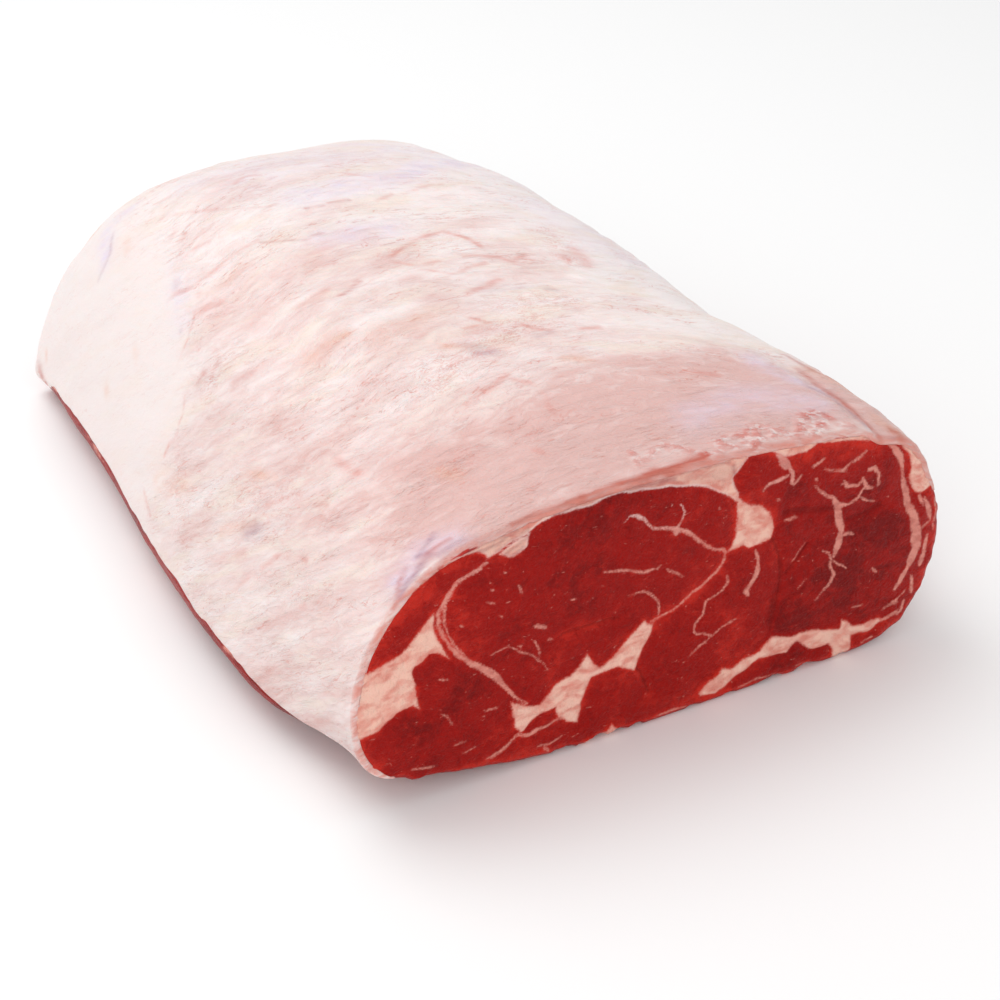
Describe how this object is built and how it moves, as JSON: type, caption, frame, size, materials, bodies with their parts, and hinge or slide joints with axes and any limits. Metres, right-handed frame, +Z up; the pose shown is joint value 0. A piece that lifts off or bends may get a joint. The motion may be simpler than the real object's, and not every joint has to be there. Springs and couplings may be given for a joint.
{
  "type": "raw beef rib roast",
  "caption": "Long boneless raw rib roast lying on its rib side, fat cap over the top and one flank, cut face showing the eye, cap and blade muscles between seams of fat.",
  "frame": {"origin": "middle of the roast's footprint, on the surface that it lies on", "axes": "+X across the roast to its blade side, +Y along it away from the cut face that shows, +Z up"},
  "size_m": [0.2464, 0.34, 0.1213],
  "materials": {
    "lean": "moist raw red meat with fine marbling, satin to wet",
    "fat_cap": "cool pinkish white hard fat with streaks, satin",
    "seam_fat": "cream to pink seam fat, moist"
  },
  "bodies": {
    "root": {"lean": "lean", "fat_cap": "fat_cap", "seam_fat_upper": "seam_fat", "seam_fat_lower": "seam_fat", "seam_fat_rib_side": "seam_fat"}
  },
  "joints": []
}
